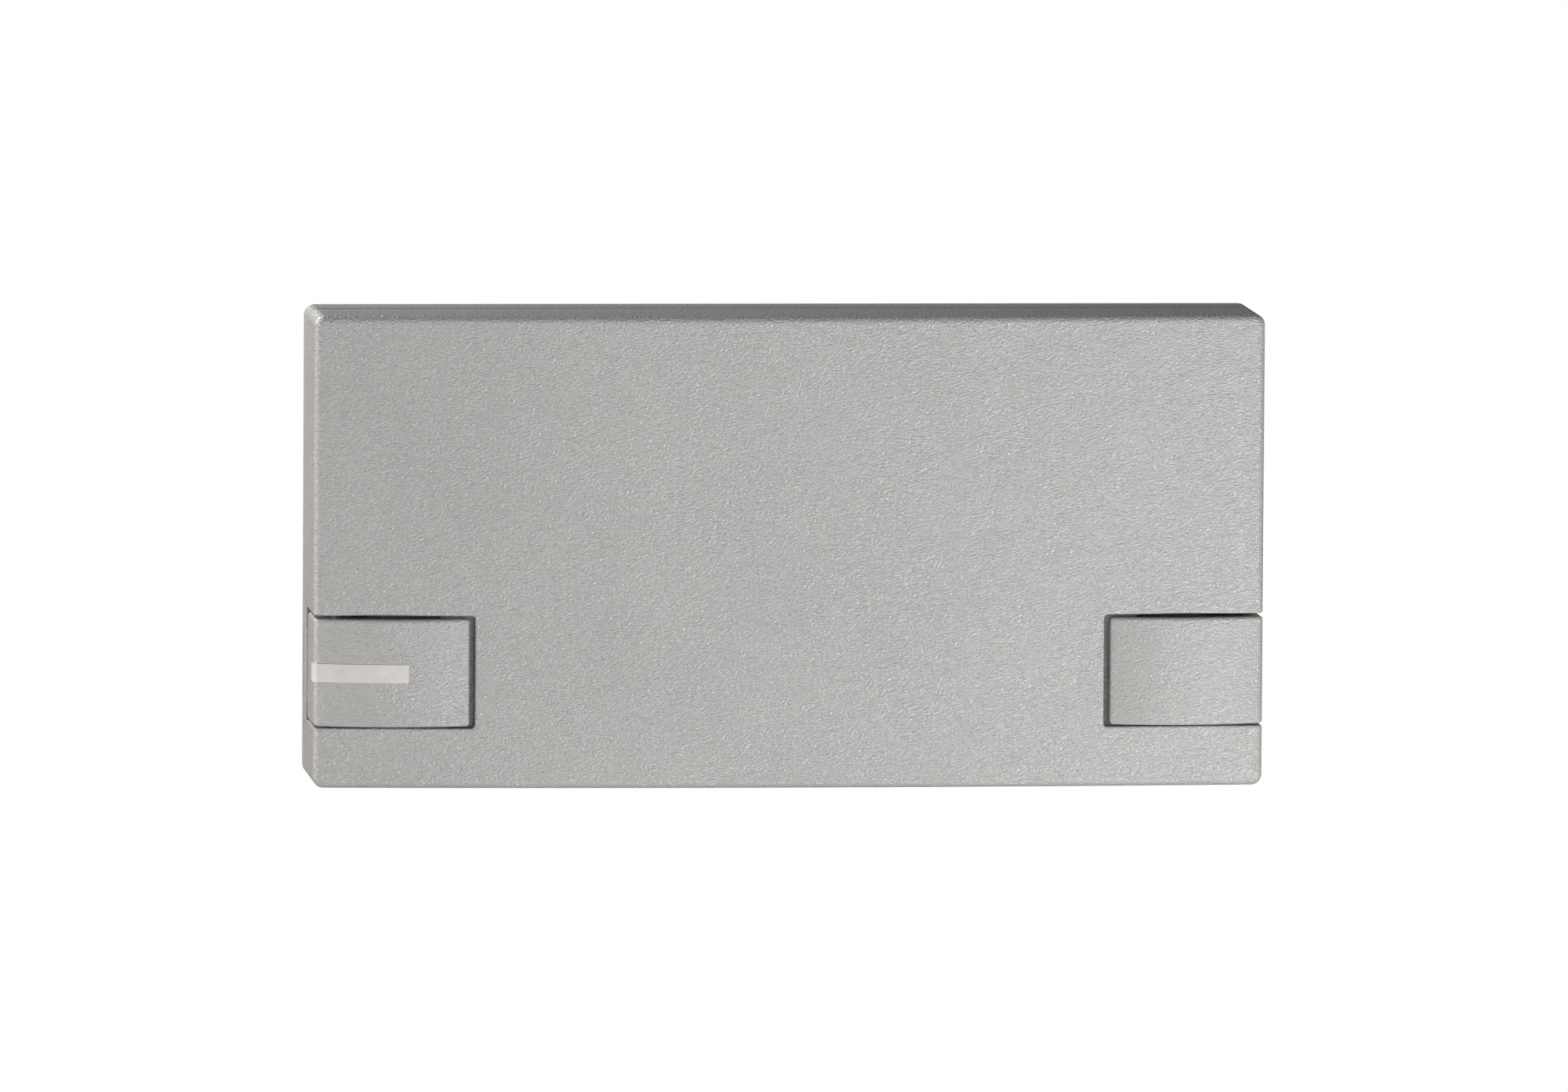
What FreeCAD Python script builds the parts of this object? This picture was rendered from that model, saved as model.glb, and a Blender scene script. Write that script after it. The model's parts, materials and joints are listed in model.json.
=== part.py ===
import FreeCAD, Part
import os
import re
import Sketcher

V = FreeCAD.Vector

# Wall battery unit: a rear shell held on a wall, a front cover hinged along its top
# edge, two swinging latches in the cover's lower corners, and a pack of eight
# cells with its control board inside. Millimetres, +Z up, front towards -Y, the
# wall plane at Y = 0 and the origin at the centre of the back.

DIMENSIONS = {
    # case
    "case_width": 252.0,
    "case_height": 125.0,
    "side_depth": 43.0,
    "base_depth": 18.5,
    "bow_radius": 1819.0,
    "wall": 2.2,
    "back_wall": 2.5,
    "corner_radius": 2.8,
    "front_fillet": 2.1,
    "rear_fillet": 2.6,
    # cover hinge
    "hinge_drop": 2.0,
    "barrel_radius": 2.0,
    "barrel_gap": 0.3,
    "hinge_pin_radius": 0.75,
    "hinge_play": 0.05,
    "knuckle_middle": 81.0,
    "clip_half": 2.8,
    "knuckle_far": 7.0,
    "knuckle_slot": 1.3,
    # latch recess in the cover
    "recess_width": 42.6,
    "recess_low": 15.9,
    "recess_high": 45.7,
    "recess_wall": 2.2,
    "recess_corner": 1.0,
    "recess_mouth": 0.6,
    "ledge_depth": 40.2,
    "ledge_width": 8.8,
    "floor_depth": 34.5,
    "chamber_width": 15.0,
    "chamber_rear": 27.0,
    # latch
    "latch_radius": 62.0,
    "latch_apex": 23.5,
    "latch_level": 47.3,
    "latch_length": 41.1,
    "latch_gap_low": 0.5,
    "latch_gap_high": 0.85,
    "latch_wall": 2.2,
    "latch_skirt": 1.8,
    "latch_rim": 0.9,
    "latch_tip_depth": 42.3,
    "skirt_depth": 37.5,
    "skirt_length": 32.5,
    "flange_rear": 22.0,
    "pivot_inset": 7.0,
    "pivot_depth": 28.5,
    "pivot_radius": 1.25,
    "pivot_play": 0.05,
    "barrel_outer": 3.0,
    "arm_inner": 7.1,
    "arm_outer": 4.9,
    "arm_rear": 11.5,
    "arm_half": 6.0,
    "lip_outer": 3.1,
    "lip_front": 13.5,
    "strip_length": 24.9,
    "strip_height": 4.8,
    "strip_proud": 0.25,
    "strip_wrap": 38.0,
    "keeper_half": 7.0,
    # wall fixing and cable entry
    "screw_x": 115.5,
    "screw_high": 45.0,
    "screw_low": -54.0,
    "screw_hole": 2.25,
    "screw_boss": 5.0,
    "entry_x": -62.0,
    "entry_z": -40.0,
    "entry_hole": 8.0,
    "cable_radius": 4.0,
    # cells
    "cell_radius": 13.1,
    "cell_low": -11.0,
    "cell_length": 65.5,
    "cell_pitch": 27.2,
    "cell_depth": 18.3,
    "holder_half_width": 109.3,
    "holder_half_depth": 14.3,
    "holder_plate": 2.2,
    "socket_depth": 6.5,
    "socket_play": 0.15,
    "window_radius": 8.0,
    "strip_thickness": 0.3,
    "strip_half": 5.0,
    "ear_reach": 118.0,
    "ear_x": 113.8,
    "ear_rear": 12.0,
    "ear_front": 15.0,
    "ear_high": 54.0,
    "ear_low": -9.0,
    "ear_half": 3.0,
    # control board
    "board_left": -28.0,
    "board_right": 74.0,
    "board_low": -57.0,
    "board_high": -20.0,
    "board_rear": 9.0,
    "board_front": 10.6,
    "board_inset": 3.5,
}

doc = FreeCAD.newDocument("wall_battery")
sheet = doc.addObject("Spreadsheet::Sheet", "Dims")
for row, (alias, number) in enumerate(DIMENSIONS.items(), start=1):
    sheet.set("A%d" % row, alias)
    sheet.set("B%d" % row, str(number))
    sheet.setAlias("B%d" % row, alias)
doc.recompute()

ALIAS = re.compile(r"\b(" + "|".join(DIMENSIONS) + r")\b")
SIDES = {"left": "-1", "right": "1"}
finished = []


def formula(text):
    """Expression text with every dimension name pointed at the sheet."""
    return ALIAS.sub(r"Dims.\1", str(text))


# A vertex that reads a formula's value, for the first placing of sketch points.
reader = doc.addObject("Part::Vertex", "reader")


def value(text):
    reader.setExpression("X", formula(text))
    reader.recompute()
    return reader.X.Value


def bind(item, **formulas):
    for name, text in formulas.items():
        item.setExpression(name.replace("__", "."), formula(text))
    return item


def place(item, x, y, z):
    return bind(item, Placement__Base__x=x, Placement__Base__y=y, Placement__Base__z=z)


def box(name, x, y, z):
    """Block between the low and high formulas of each axis."""
    item = doc.addObject("Part::Box", name)
    for side, (low, high) in zip(("Length", "Width", "Height"), (x, y, z)):
        item.setExpression(side, formula("(%s) - (%s)" % (high, low)))
    return place(item, x[0], y[0], z[0])


TURN = {
    "x": FreeCAD.Rotation(V(0, 1, 0), 90),
    "y": FreeCAD.Rotation(V(1, 0, 0), -90),
    "z": FreeCAD.Rotation(),
}


def rod(name, axis, radius, span, centre):
    """Cylinder along an axis, from span[0] to span[1], centred on the other two."""
    item = doc.addObject("Part::Cylinder", name)
    item.Placement = FreeCAD.Placement(V(0, 0, 0), TURN[axis])
    bind(item, Radius=radius, Height="(%s) - (%s)" % (span[1], span[0]))
    at = {"x": (span[0],) + centre, "y": (centre[0], span[0], centre[1]), "z": centre + (span[0],)}
    return place(item, *at[axis])


def cone(name, axis, radii, span, centre):
    item = doc.addObject("Part::Cone", name)
    item.Placement = FreeCAD.Placement(V(0, 0, 0), TURN[axis])
    bind(item, Radius1=radii[0], Radius2=radii[1], Height="(%s) - (%s)" % (span[1], span[0]))
    at = {"x": (span[0],) + centre, "y": (centre[0], span[0], centre[1]), "z": centre + (span[0],)}
    return place(item, *at[axis])


def ring(name, axis, major, minor, x, y, z):
    item = doc.addObject("Part::Torus", name)
    item.Placement = FreeCAD.Placement(V(0, 0, 0), TURN[axis])
    bind(item, Radius1=major, Radius2=minor)
    return place(item, x, y, z)


def fuse(name, items):
    item = doc.addObject("Part::MultiFuse", name)
    item.Shapes = items
    item.Refine = True
    return item


def cut(name, base, tools):
    item = doc.addObject("Part::Cut", name)
    item.Base = base
    item.Tool = tools[0] if len(tools) == 1 else fuse(name + "_tools", tools)
    item.Refine = True
    return item


def common(name, items):
    item = doc.addObject("Part::MultiCommon", name)
    item.Shapes = items
    item.Refine = True
    return item


def group(name, items):
    item = doc.addObject("Part::Compound", name)
    item.Links = items
    return item


def done(item, label):
    item.Label = label
    finished.append(item)
    return item


def edges(item, keep):
    """Names of the item's edges that the test keeps."""
    doc.recompute()
    return ["Edge%d" % (i + 1) for i, edge in enumerate(item.Shape.Edges) if keep(edge.BoundBox)]


def rounded(body, name, base, keep, radius):
    item = body.newObject("PartDesign::Fillet", name)
    item.Base = (base, edges(base, keep))
    bind(item, Radius=radius)
    return item


def eased(base, keep, radius):
    """Copy of a plain solid with the edges that the test keeps rounded off."""
    numbers = [int(edge[4:]) for edge in edges(base, keep)]
    item = doc.addObject("Part::Fillet", base.Name + "_eased")
    item.Base = base
    item.Edges = [(number, value(radius), value(radius)) for number in numbers]
    return item


def profile(body, name, plane, points, arcs=None, offset=None):
    """Closed sketch through formula points. arcs[i] = (through point, radius) bends side i."""
    arcs = arcs or {}
    sketch = body.newObject("Sketcher::SketchObject", name)
    origin_plane = [item for item in body.Origin.OriginFeatures if item.Role == plane][0]
    sketch.AttachmentSupport = (origin_plane, "")
    sketch.MapMode = "FlatFace"
    if offset:
        bind(sketch, AttachmentOffset__Base__z=offset)
    spots = [V(value(x), value(y), 0) for x, y in points]
    ends = []
    for i, start in enumerate(spots):
        stop = spots[(i + 1) % len(spots)]
        if i in arcs:
            through = V(value(arcs[i][0][0]), value(arcs[i][0][1]), 0)
            turn = (through - start).cross(stop - through).z
            first, last = (start, stop) if turn > 0 else (stop, start)
            sketch.addGeometry(Part.Arc(first, through, last), False)
            ends.append((1, 2) if turn > 0 else (2, 1))
        else:
            sketch.addGeometry(Part.LineSegment(start, stop), False)
            ends.append((1, 2))
    for i, (first, last) in enumerate(ends):
        after = (i + 1) % len(ends)
        sketch.addConstraint(Sketcher.Constraint("Coincident", i, last, after, ends[after][0]))
    for i, (x, y) in enumerate(points):
        for kind, text, number in (("DistanceX", x, spots[i].x), ("DistanceY", y, spots[i].y)):
            index = sketch.addConstraint(
                Sketcher.Constraint(kind, -1, 1, i, ends[i][0], number)
            )
            sketch.setExpression("Constraints[%d]" % index, formula(text))
    for i, (through, radius) in arcs.items():
        index = sketch.addConstraint(Sketcher.Constraint("Radius", i, value(radius)))
        sketch.setExpression("Constraints[%d]" % index, formula(radius))
    return sketch


def pad(body, name, sketch, length, both=False):
    item = body.newObject("PartDesign::Pad", name)
    item.Profile = sketch
    if both:
        item.SideType = "Symmetric"
    bind(item, Length=length)
    return item


def pocket(body, name, sketch, length, both=False):
    item = body.newObject("PartDesign::Pocket", name)
    item.Profile = sketch
    if both:
        item.SideType = "Symmetric"
    bind(item, Length=length)
    return item


def along_y(b):
    return b.XLength < 1e-4 and b.ZLength < 1e-4


HALF_W = "case_width / 2"
HALF_H = "case_height / 2"
HINGE_Y = "-base_depth"
HINGE_Z = "case_height / 2 - hinge_drop"
OUTLINE = [
    ("-" + HALF_W, "-" + HALF_H),
    (HALF_W, "-" + HALF_H),
    (HALF_W, HALF_H),
    ("-" + HALF_W, HALF_H),
]


def inner_outline(margin):
    reach = "(case_width / 2 - %s)" % margin
    rise = "(case_height / 2 - %s)" % margin
    return [("-" + reach, "-" + rise), (reach, "-" + rise), (reach, rise), ("-" + reach, rise)]


def from_side(side, inset):
    """X at a distance in from the left or right side face."""
    return "(%s) * (case_width / 2 - (%s))" % (SIDES[side], inset)


def x_span(side, first, last):
    """Low and high X of a span given as insets from a side face."""
    a, b = from_side(side, first), from_side(side, last)
    return (a, b) if side == "left" else (b, a)


# ---------------------------------------------------------------- rear shell
base_body = doc.addObject("PartDesign::Body", "base_body")
base_pad = pad(base_body, "base_pad", profile(base_body, "base_outline", "XZ_Plane", OUTLINE), "base_depth")
base_corners = rounded(base_body, "base_corners", base_pad, along_y, "corner_radius")
base_back = rounded(
    base_body, "base_back", base_corners, lambda b: b.YMin > -0.001 and b.YLength < 0.001, "rear_fillet"
)
base_inner = profile(base_body, "base_inner", "XZ_Plane", inner_outline("wall"), offset="base_depth")
base_hollow = pocket(base_body, "base_hollow", base_inner, "base_depth - back_wall")
base_body.Tip = base_hollow

knuckle_spans = []
for side, sign in SIDES.items():
    for near, far in (("clip_half + 0.2", "knuckle_far"), ("-knuckle_far", "-clip_half - 0.2")):
        low = "%s * knuckle_middle + %s" % (sign, near)
        high = "%s * knuckle_middle + %s" % (sign, far)
        knuckle_spans.append((low, high))

base_add = []
for i, span in enumerate(knuckle_spans):
    base_add.append(rod("base_knuckle_%d" % i, "x", "barrel_radius", span, (HINGE_Y, HINGE_Z)))
    foot_z = (HINGE_Z + " - barrel_radius", HINGE_Z + " - 0.1")
    base_add.append(box("base_foot_%d" % i, span, (HINGE_Y, "-12"), foot_z))
wall_spots = [(x, z) for z in ("screw_high", "screw_low") for x in ("-screw_x", "screw_x")]
for i, (x, z) in enumerate(wall_spots):
    base_add.append(rod("wall_boss_%d" % i, "y", "screw_boss", ("-back_wall - 2", "-1"), (x, z)))
ear_spots = [("-ear_x", "ear_high"), ("ear_x", "ear_high"), ("-ear_x", "ear_low"), ("ear_x", "ear_low")]
for i, (x, z) in enumerate(ear_spots):
    base_add.append(rod("pack_boss_%d" % i, "y", "ear_half", ("-ear_rear", "-1"), (x, z)))
board_spots = [
    ("board_left + board_inset", "board_low + board_inset"),
    ("board_right - board_inset", "board_low + board_inset"),
    ("board_left + board_inset", "board_high - board_inset"),
    ("board_right - board_inset", "board_high - board_inset"),
]
for i, (x, z) in enumerate(board_spots):
    base_add.append(rod("board_boss_%d" % i, "y", "3", ("-board_rear", "-1"), (x, z)))
clamp_spots = [("-42", "entry_z + 9"), ("-42", "entry_z - 9")]
for i, (x, z) in enumerate(clamp_spots):
    base_add.append(rod("clamp_boss_%d" % i, "y", "3", ("-9", "-1"), (x, z)))
# cradle ribs behind the cells
for i in range(4):
    x = "%s * cell_pitch" % (2 * i - 3)
    rib_y = ("-back_wall - 2.2", "-1")
    base_add.append(box("cradle_rib_%d" % i, (x + " - 1", x + " + 1"), rib_y, ("0", "44")))
# alignment lips just inside the cover's walls
lip_y = ("-base_depth - 2", "-base_depth + 3")
lip_low = "wall + 0.3"
lip_root_y = ("-base_depth + 0.4", "-base_depth + 3")
lip_x = ("-74", "74")
lip_top = "-%s + %s + 1.4" % (HALF_H, lip_low)
base_add.append(box("lip_bottom", lip_x, lip_y, ("-%s + %s" % (HALF_H, lip_low), lip_top)))
base_add.append(box("lip_bottom_root", lip_x, lip_root_y, ("-%s + wall - 0.5" % HALF_H, lip_top)))
for side in SIDES:
    lip_x = x_span(side, lip_low, lip_low + " + 1.2")
    root_x = x_span(side, "wall - 0.5", lip_low + " + 1.2")
    base_add.append(box("lip_" + side, lip_x, lip_y, ("-10", "38")))
    base_add.append(box("lip_root_" + side, root_x, lip_root_y, ("-10", "38")))

base_cut = [
    rod("hinge_clear", "x", "barrel_radius + barrel_gap", ("-130", "130"), (HINGE_Y, HINGE_Z)),
    box("hinge_setback", ("-130", "130"), ("-base_depth - 1", "-base_depth + barrel_radius + barrel_gap"),
        (HINGE_Z, HALF_H + " + 1")),
    rod("entry_hole", "y", "entry_hole", ("-back_wall - 1", "1"), ("entry_x", "entry_z")),
    rod("entry_recess", "y", "entry_hole + 2.7", ("-1.2", "1"), ("entry_x", "entry_z")),
]
for i in range(6):
    x = 15.0 * (i - 2.5)
    base_cut.append(
        box("vent_slot_%d" % i, (x - 5, x + 5), ("-13.5", "-11.5"), ("-%s - 1" % HALF_H, "-%s + 3" % HALF_H))
    )
for side in SIDES:
    relief_x = x_span(side, "-1", "0.12")
    base_cut.append(box("side_relief_" + side, relief_x, ("-base_depth - 1", "-5"), ("-42", "-22")))
shell_cut = cut("base_trimmed", base_body, base_cut)
base_all = fuse("base_joined", [shell_cut] + base_add)
holes = []
for i, (x, z) in enumerate(wall_spots):
    holes.append(rod("wall_hole_%d" % i, "y", "screw_hole", ("-back_wall - 4", "2"), (x, z)))
for i, (x, z) in enumerate(ear_spots):
    holes.append(rod("pack_hole_%d" % i, "y", "1.25", ("-ear_rear - 1", "-3.5"), (x, z)))
for i, (x, z) in enumerate(board_spots):
    holes.append(rod("board_hole_%d" % i, "y", "1.0", ("-board_rear - 1", "-3.5"), (x, z)))
for i, (x, z) in enumerate(clamp_spots):
    holes.append(rod("clamp_hole_%d" % i, "y", "1.0", ("-10", "-3.5"), (x, z)))
for i, (low, high) in enumerate(knuckle_spans):
    holes.append(
        rod("knuckle_hole_%d" % i, "x", "hinge_pin_radius", (low + " - 1", high + " + 1"), (HINGE_Y, HINGE_Z))
    )
base_shell = done(cut("base_finished", base_all, holes), "base_shell")

# ---------------------------------------------------------------- hinge pins
pins = []
for side, sign in SIDES.items():
    span = ("%s * knuckle_middle - knuckle_far" % sign, "%s * knuckle_middle + knuckle_far" % sign)
    pins.append(rod("hinge_pin_" + side, "x", "hinge_pin_radius", span, (HINGE_Y, HINGE_Z)))
done(group("hinge_pin_pair", pins), "hinge_pins")

# ---------------------------------------------------------------- front cover
cover_body = doc.addObject("PartDesign::Body", "cover_body")
cover_points = [
    ("-" + HALF_W, "-base_depth"),
    (HALF_W, "-base_depth"),
    (HALF_W, "-side_depth"),
    ("-" + HALF_W, "-side_depth"),
]
bow = "(bow_radius - sqrt(bow_radius ^ 2 - (case_width / 2) ^ 2))"
cover_sketch = profile(
    cover_body, "cover_outline", "XY_Plane", cover_points, {2: (("0", "-side_depth - " + bow), "bow_radius")}
)
cover_pad = pad(cover_body, "cover_pad", cover_sketch, "case_height", both=True)
cover_corners = rounded(cover_body, "cover_corners", cover_pad, along_y, "corner_radius")
front_level = -value("side_depth") + 2
cover_round = rounded(
    cover_body, "cover_round", cover_corners, lambda b: b.YMax < front_level - 0.5, "front_fillet"
)
cover_body.Tip = cover_round

inner_body = doc.addObject("PartDesign::Body", "inner_body")
inner_half = "(case_width / 2 - wall)"
inner_drop = "(bow_radius - wall - sqrt((bow_radius - wall) ^ 2 - %s ^ 2))" % inner_half
inner_level = "(side_depth + %s - wall)" % bow
inner_points = [
    ("-" + inner_half, "-base_depth + 5"),
    (inner_half, "-base_depth + 5"),
    (inner_half, "-%s + %s" % (inner_level, inner_drop)),
    ("-" + inner_half, "-%s + %s" % (inner_level, inner_drop)),
]
inner_bow = {2: (("0", "-" + inner_level), "bow_radius - wall")}
inner_sketch = profile(inner_body, "inner_outline", "XY_Plane", inner_points, inner_bow)
inner_pad = pad(inner_body, "inner_pad", inner_sketch, "case_height - 2 * wall", both=True)
inner_corners = rounded(inner_body, "inner_corners", inner_pad, along_y, "0.8")
inner_body.Tip = inner_corners

RECESS_LOW = "-case_height / 2 + recess_low"
RECESS_HIGH = "-case_height / 2 + recess_high"
blocks = []
recesses = []
for side in SIDES:
    z_block = (RECESS_LOW + " - recess_wall", RECESS_HIGH + " + recess_wall")
    z_open = (RECESS_LOW, RECESS_HIGH)
    steps = [
        ("recess_width + recess_wall", "-ledge_depth + recess_wall"),
        ("recess_width - ledge_width + recess_wall", "-floor_depth + recess_wall"),
        ("chamber_width + recess_wall", "-chamber_rear"),
    ]
    for i, (inset, rear) in enumerate(steps):
        blocks.append(box("block_%s_%d" % (side, i), x_span(side, "-2", inset), ("-60", rear), z_block))
    lug_y = ("-60", "-base_depth - 0.5")
    lug_x = x_span(side, "-2", "chamber_width + recess_wall")
    blocks.append(box("lug_high_" + side, lug_x, lug_y, (RECESS_HIGH, z_block[1])))
    blocks.append(box("lug_low_" + side, lug_x, lug_y, (z_block[0], RECESS_LOW)))
    openings = [
        ("recess_width", "-ledge_depth"),
        ("recess_width - ledge_width", "-floor_depth"),
        ("chamber_width", "-5"),
    ]
    for i, (inset, rear) in enumerate(openings):
        opening = box("recess_%s_%d" % (side, i), x_span(side, "-5", inset), ("-60", rear), z_open)
        end = value(from_side(side, inset))
        recesses.append(eased(opening, lambda b: along_y(b) and abs(b.XMin - end) < 0.01, "recess_corner"))

cavity = cut("cavity", inner_body, blocks)
outline_box = box("outline_box", ("-" + HALF_W, HALF_W), ("-25", "-14"), ("-" + HALF_H, HALF_H))
outline_round = eased(outline_box, along_y, "corner_radius")
bullnose_rod = rod("bullnose_rod", "x", "barrel_radius", ("-" + HALF_W, HALF_W), (HINGE_Y, HINGE_Z))
bullnose = common("bullnose", [bullnose_rod, outline_round])
cover_shell_raw = cut("cover_hollowed", cover_body, [cavity])
cover_joined = fuse("cover_joined", [cover_shell_raw, bullnose])
cover_cut = list(recesses)
for i, (low, high) in enumerate(knuckle_spans):
    span = (low + " - 0.2", high + " + 0.2")
    cover_cut.append(rod("cover_gap_%d" % i, "x", "barrel_radius + barrel_gap", span, (HINGE_Y, HINGE_Z)))
    foot_z = (HINGE_Z + " - barrel_radius - 0.3", HINGE_Z)
    cover_cut.append(box("cover_gap_foot_%d" % i, span, (HINGE_Y + " - 0.3", "-14"), foot_z))
cover_trimmed = cut("cover_trimmed", cover_joined, cover_cut)
clips = []
for side, sign in SIDES.items():
    span = ("%s * knuckle_middle - clip_half" % sign, "%s * knuckle_middle + clip_half" % sign)
    clips.append(rod("clip_rod_" + side, "x", "barrel_radius", span, (HINGE_Y, HINGE_Z)))
    foot_z = (HINGE_Z + " - barrel_radius", HALF_H + " - 0.4")
    clips.append(box("clip_foot_" + side, span, (HINGE_Y + " - 4", HINGE_Y), foot_z))
cover_clipped = fuse("cover_clipped", [cover_trimmed] + clips)
cover_bores = []
for side, sign in SIDES.items():
    middle = "%s * knuckle_middle" % sign
    span = (middle + " - clip_half - 1", middle + " + clip_half + 1")
    bore = "hinge_pin_radius + hinge_play"
    cover_bores.append(rod("clip_bore_" + side, "x", bore, span, (HINGE_Y, HINGE_Z)))
    slot_y = (HINGE_Y + " - knuckle_slot / 2", HINGE_Y + " + knuckle_slot / 2")
    cover_bores.append(box("clip_slot_" + side, span, slot_y, (HINGE_Z + " - 3", HINGE_Z)))
    pivot = (from_side(side, "pivot_inset"), "-pivot_depth")
    pivot_z = (RECESS_LOW + " - recess_wall - 1", RECESS_HIGH + " + 4")
    cover_bores.append(rod("pivot_bore_" + side, "z", "pivot_radius", pivot_z, pivot))
cover_bored = cut("cover_bored", cover_clipped, cover_bores)


def at_recess_mouth(b):
    """Edges where a recess's walls meet the front or side face of the cover."""
    outside = b.YMax < mouth_front or abs(abs(b.Center.x) - mouth_side) < 0.7
    level = b.ZLength < 0.01 and min(abs(b.ZMin - mouth_low), abs(b.ZMin - mouth_high)) < 0.01
    end = abs(abs(b.Center.x) - mouth_end) < 0.6 and mouth_low - 0.1 < b.ZMin and b.ZMax < mouth_high + 0.1
    return outside and (level or (end and b.YMax < mouth_front and b.ZLength > 0.5))


mouth_low = value(RECESS_LOW)
mouth_high = value(RECESS_HIGH)
mouth_side = value(HALF_W)
mouth_end = value(HALF_W + " - recess_width")
mouth_front = value("-side_depth + 0.3")
cover_shell = done(eased(cover_bored, at_recess_mouth, "recess_mouth"), "cover_shell")

latch_pins = []
for side in SIDES:
    pivot = (from_side(side, "pivot_inset"), "-pivot_depth")
    span = (RECESS_LOW + " - recess_wall", RECESS_HIGH + " + recess_wall")
    latch_pins.append(rod("latch_pin_" + side, "z", "pivot_radius", span, pivot))
done(group("latch_pin_pair", latch_pins), "latch_pins")

# ---------------------------------------------------------------- latches
LATCH_LOW = "(%s + latch_gap_low)" % RECESS_LOW
LATCH_HIGH = "(%s - latch_gap_high)" % RECESS_HIGH


def face_level(inset, shrink="0"):
    """Y of the latch's curved face, or of an offset of it, at an inset from the side."""
    radius = "(latch_radius - %s)" % shrink
    reach = "((%s) - latch_apex)" % inset
    return "(-latch_level + latch_radius - sqrt(%s ^ 2 - %s ^ 2))" % (radius, reach)


def latch(side):
    body = doc.addObject("PartDesign::Body", "latch_body_" + side)
    body.setExpression("Placement.Base.z", formula("(%s + %s) / 2" % (LATCH_LOW, LATCH_HIGH)))
    outline = [
        (from_side(side, "0"), "-flange_rear"),
        (from_side(side, "0"), face_level("0")),
        (from_side(side, "latch_length"), face_level("latch_length")),
        (from_side(side, "latch_length"), "-latch_tip_depth"),
        (from_side(side, "skirt_length"), "-latch_tip_depth"),
        (from_side(side, "skirt_length"), "-skirt_depth"),
        (from_side(side, "10.5"), "-skirt_depth"),
        (from_side(side, "10.5"), "-26.5"),
        (from_side(side, "latch_wall"), "-flange_rear - 3.5"),
        (from_side(side, "latch_wall"), "-flange_rear"),
    ]
    crown = {1: ((from_side(side, "latch_apex"), "-latch_level"), "latch_radius")}
    sketch = profile(body, "latch_outline_" + side, "XY_Plane", outline, crown)
    solid = pad(body, "latch_pad_" + side, sketch, "%s - %s" % (LATCH_HIGH, LATCH_LOW), both=True)
    inside = "latch_wall"
    hollow = [
        (from_side(side, inside), "-flange_rear + 1"),
        (from_side(side, inside), face_level(inside, "latch_wall")),
        (from_side(side, "skirt_length - 2"), face_level("skirt_length - 2", "latch_wall")),
        (from_side(side, "skirt_length - 2"), "-flange_rear + 1"),
    ]
    under = {1: ((from_side(side, "latch_apex"), "-latch_level + latch_wall"), "latch_radius - latch_wall")}
    hollow_sketch = profile(body, "latch_hollow_" + side, "XY_Plane", hollow, under)
    doc.recompute()
    inside_height = "%s - %s - 2 * latch_skirt" % (LATCH_HIGH, LATCH_LOW)
    opened = pocket(body, "latch_pocket_" + side, hollow_sketch, inside_height, both=True)
    front = value("-side_depth + 1.5")
    half = value("(%s - %s) / 2" % (LATCH_HIGH, LATCH_LOW))
    side_x = value(from_side(side, "0"))
    side_edge = rounded(
        body, "latch_side_" + side, opened,
        lambda b: b.ZLength > 20 and b.YMax < front and abs(b.XMin - side_x) < 0.01, "front_fillet",
    )
    tip_x = value(from_side(side, "latch_length"))
    corners = rounded(
        body, "latch_corners_" + side, side_edge,
        lambda b: along_y(b) and abs(b.XMin - tip_x) < 0.01, "recess_corner",
    )
    rim = rounded(
        body, "latch_rim_" + side, corners,
        lambda b: (abs(abs(b.ZMin) - half) < 0.01 and b.ZLength < 0.01 and b.YMin < -44 and b.XLength > 20)
        or (b.ZLength > 20 and b.YMax < -44),
        "latch_rim",
    )
    body.Tip = rim
    z = (LATCH_LOW, LATCH_HIGH)
    middle = "(%s + %s) / 2" % z
    arm_z = (middle + " - arm_half", middle + " + arm_half")
    pivot = (from_side(side, "pivot_inset"), "-pivot_depth")
    web_y = ("-pivot_depth - 1.5", "-pivot_depth + 1.5")
    rib_x = x_span(side, "pivot_inset - 1", "pivot_inset + 1")
    rib_z = (middle + " - 11", middle + " + 11")
    arm_x = x_span(side, "arm_outer", "arm_inner")
    extra = [
        rod("latch_barrel_" + side, "z", "barrel_outer", z, pivot),
        box("latch_web_" + side, x_span(side, "1", "pivot_inset"), web_y, z),
        box("latch_rib_" + side, rib_x, ("-43", "-pivot_depth"), rib_z),
        box("latch_arm_" + side, arm_x, ("-pivot_depth", "-arm_rear"), arm_z),
        box("latch_lip_" + side, x_span(side, "lip_outer", "arm_inner"), ("-lip_front", "-arm_rear"), arm_z),
    ]
    joined = fuse("latch_joined_" + side, [body] + extra)
    bore_span = (z[0] + " - 1", z[1] + " + 1")
    bore = rod("latch_bore_" + side, "z", "pivot_radius + pivot_play", bore_span, pivot)
    return done(cut("latch_finished_" + side, joined, [bore]), "latch_" + side)


latches = {side: latch(side) for side in SIDES}

# blank pale marking strip wrapped over the left latch's outer edge


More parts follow.
